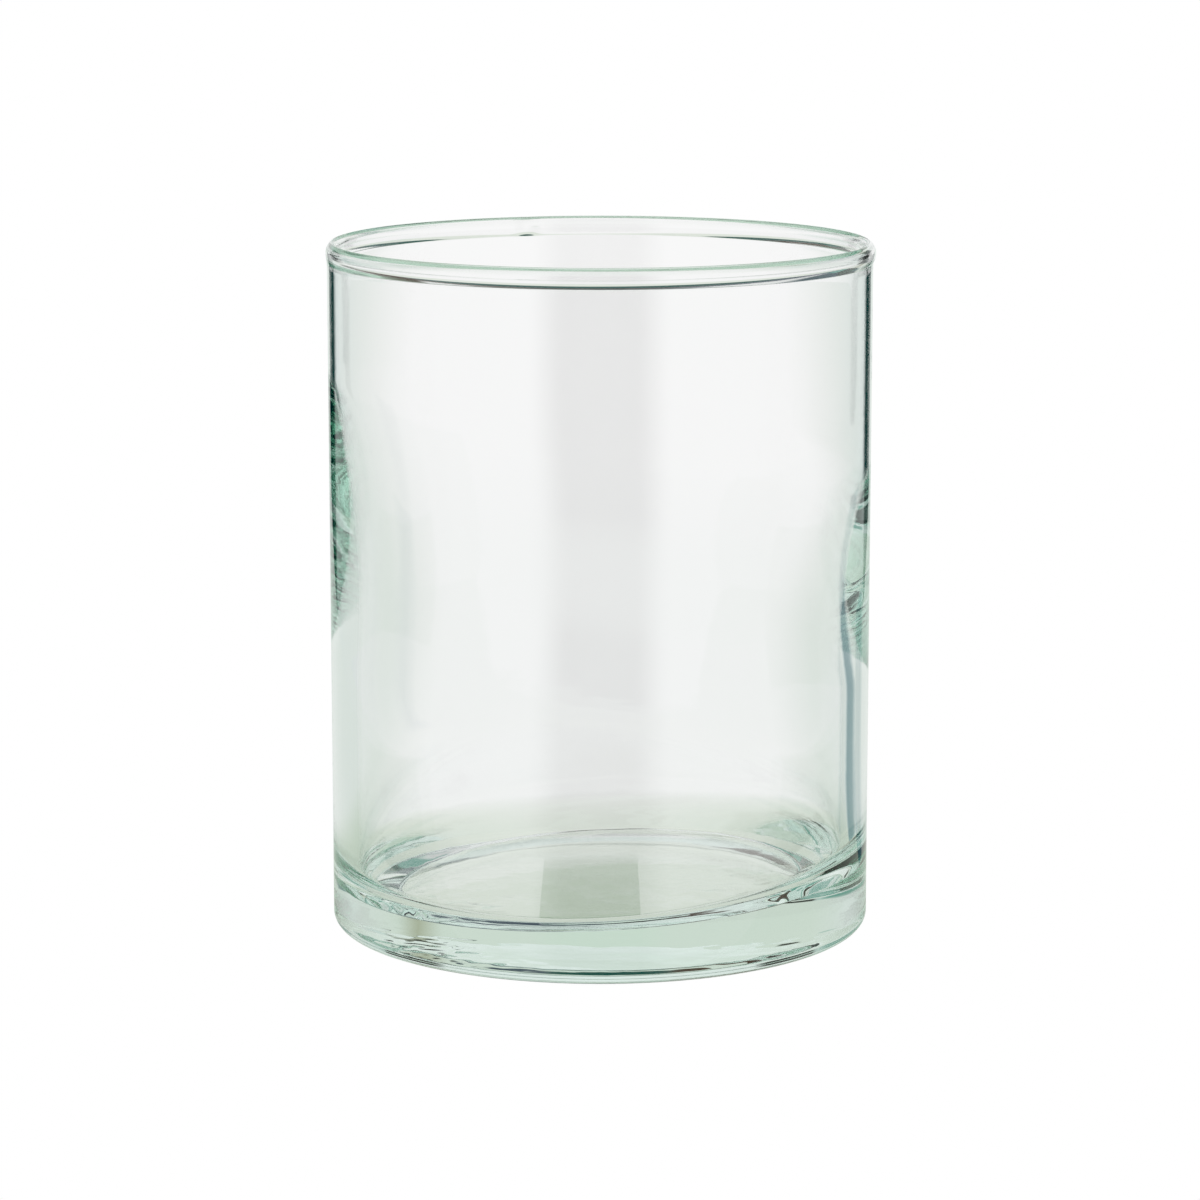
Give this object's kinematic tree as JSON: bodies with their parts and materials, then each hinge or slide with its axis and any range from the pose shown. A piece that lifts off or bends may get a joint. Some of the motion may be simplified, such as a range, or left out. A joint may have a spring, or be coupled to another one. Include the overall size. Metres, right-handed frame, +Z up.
{
  "type": "glass cylinder vase",
  "caption": "Low straight-sided vase of clear glass, open at the top, with a thick solid base and a wall that thins towards a rounded fire-polished rim, for cut flowers.",
  "frame": {"origin": "centre of the ring that the vase stands on, at the level of the table", "axes": "+Z up along the vase's axis towards its mouth; X and Y level, with the view of the reference from -Y"},
  "size_m": [0.0806, 0.0806, 0.102],
  "materials": {
    "clear_glass": "clear polished soda-lime glass, faint green in thick places"
  },
  "bodies": {
    "root": {"vase_body": "clear_glass"}
  },
  "joints": []
}
